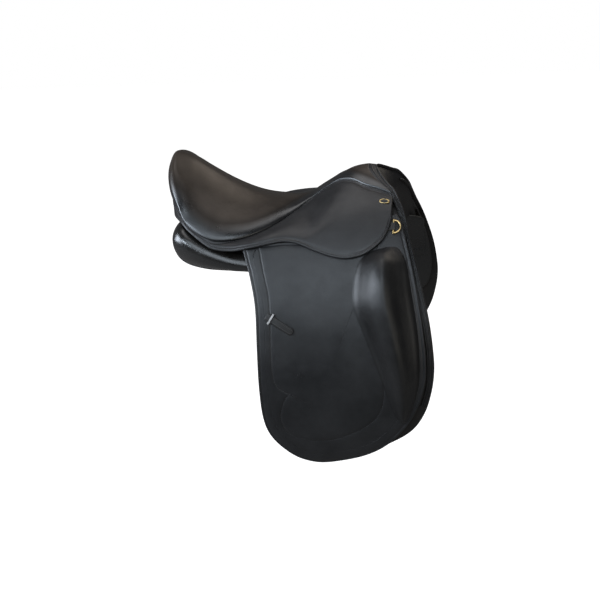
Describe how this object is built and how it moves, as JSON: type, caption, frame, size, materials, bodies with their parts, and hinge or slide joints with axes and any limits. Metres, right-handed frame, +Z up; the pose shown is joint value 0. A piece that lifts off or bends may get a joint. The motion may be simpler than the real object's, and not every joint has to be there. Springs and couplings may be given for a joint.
{
  "type": "dressage saddle",
  "caption": "English dressage saddle with deep padded seat, long lifting flaps, outside knee blocks, wool panels, tree, stirrup bars and girth straps.",
  "frame": {"origin": "the ridge of the rack under the seat, on the centre plane between the two panels", "axes": "+X forward to the pommel, +Y to the left side, +Z up"},
  "size_m": [0.546, 0.585, 0.5782],
  "materials": {
    "black_leather": "satin, fine grain",
    "seat_leather": "soft satin, fine grain",
    "panel_leather": "soft, matt grain",
    "laminated_wood": "clear varnish",
    "steel": "brushed",
    "brass": "polished",
    "webbing": "woven"
  },
  "bodies": {
    "saddle": {"seat": "seat_leather", "pommel_facing": "black_leather", "tree_frame": "laminated_wood", "tree_head": "laminated_wood", "gullet_plate": "steel", "head_rivets": "steel", "spring_right": "steel", "spring_left": "steel", "seat_webs": "webbing", "head_lining": "black_leather", "point_pocket_right": "black_leather", "point_pocket_left": "black_leather", "stirrup_bar_right": "steel", "stirrup_bar_left": "steel", "catch_pins": "steel", "girth_web_right": "webbing", "girth_web_left": "webbing", "strap_rivets": "steel", "panel_right": "panel_leather", "panel_left": "panel_leather", "panel_bridge": "black_leather", "sweat_flap_right": "black_leather", "sweat_flap_left": "black_leather", "flap_head_right": "black_leather", "flap_head_left": "black_leather", "skirt_right": "black_leather", "skirt_left": "black_leather", "saddle_nails": "brass", "dee_chape_right": "black_leather", "dee_chape_left": "black_leather"},
    "flap_right": {"flap_right": "black_leather", "knee_block_right": "black_leather", "keeper_right": "black_leather", "staple_right": "steel"},
    "skirt_lobe_right": {"skirt_lobe_right": "black_leather"},
    "bar_catch_right": {"bar_catch_right": "steel"},
    "dee_ring_right": {"dee_ring_right": "brass"},
    "girth_strap_front_right": {"girth_strap_front_right": "black_leather"},
    "girth_strap_rear_right": {"girth_strap_rear_right": "black_leather"},
    "flap_left": {"flap_left": "black_leather", "knee_block_left": "black_leather", "keeper_left": "black_leather", "staple_left": "steel"},
    "skirt_lobe_left": {"skirt_lobe_left": "black_leather"},
    "bar_catch_left": {"bar_catch_left": "steel"},
    "dee_ring_left": {"dee_ring_left": "brass"},
    "girth_strap_front_left": {"girth_strap_front_left": "black_leather"},
    "girth_strap_rear_left": {"girth_strap_rear_left": "black_leather"}
  },
  "joints": [
    {"name": "flap_right_lift", "type": "hinge", "parent": "saddle", "child": "flap_right", "pos_m": [0.0965, -0.19185, -0.0009], "axis": [-0.9165, -0.2257, -0.3303], "range_deg": [0, 62]},
    {"name": "flap_left_lift", "type": "hinge", "parent": "saddle", "child": "flap_left", "pos_m": [0.0965, 0.19185, -0.0009], "axis": [0.9165, -0.2257, 0.3303], "range_deg": [0, 62]},
    {"name": "skirt_lobe_right_lift", "type": "hinge", "parent": "saddle", "child": "skirt_lobe_right", "pos_m": [0.1065, -0.14225, 0.0687], "axis": [-0.9699, -0.1725, -0.172], "range_deg": [0, 42]},
    {"name": "skirt_lobe_left_lift", "type": "hinge", "parent": "saddle", "child": "skirt_lobe_left", "pos_m": [0.1065, 0.14225, 0.0687], "axis": [0.9699, -0.1725, 0.172], "range_deg": [0, 42]},
    {"name": "bar_catch_right_turn", "type": "hinge", "parent": "saddle", "child": "bar_catch_right", "pos_m": [0.117, -0.1292, 0.0637], "axis": [0, 0.6963, -0.7178], "range_deg": [0, 90]},
    {"name": "bar_catch_left_turn", "type": "hinge", "parent": "saddle", "child": "bar_catch_left", "pos_m": [0.117, 0.1292, 0.0637], "axis": [0, 0.6963, 0.7178], "range_deg": [0, 90]},
    {"name": "dee_ring_right_swing", "type": "hinge", "parent": "saddle", "child": "dee_ring_right", "pos_m": [0.213, -0.1405, 0.0651], "axis": [0, -0.7066, -0.7076], "range_deg": [0, 85]},
    {"name": "dee_ring_left_swing", "type": "hinge", "parent": "saddle", "child": "dee_ring_left", "pos_m": [0.213, 0.1405, 0.0651], "axis": [0, -0.7066, 0.7076], "range_deg": [0, 85]},
    {"name": "girth_strap_front_right_swing", "type": "hinge", "parent": "saddle", "child": "girth_strap_front_right", "pos_m": [0.122, -0.1743, 0.0092], "axis": [0, -0.8016, 0.5978], "range_deg": [-4, 4]},
    {"name": "girth_strap_front_left_swing", "type": "hinge", "parent": "saddle", "child": "girth_strap_front_left", "pos_m": [0.122, 0.1743, 0.0092], "axis": [0, -0.8016, -0.5978], "range_deg": [-4, 4]},
    {"name": "girth_strap_rear_right_swing", "type": "hinge", "parent": "saddle", "child": "girth_strap_rear_right", "pos_m": [0.044, -0.1743, 0.0092], "axis": [0, -0.8016, 0.5978], "range_deg": [-4, 4]},
    {"name": "girth_strap_rear_left_swing", "type": "hinge", "parent": "saddle", "child": "girth_strap_rear_left", "pos_m": [0.044, 0.1743, 0.0092], "axis": [0, -0.8016, -0.5978], "range_deg": [-4, 4]}
  ]
}
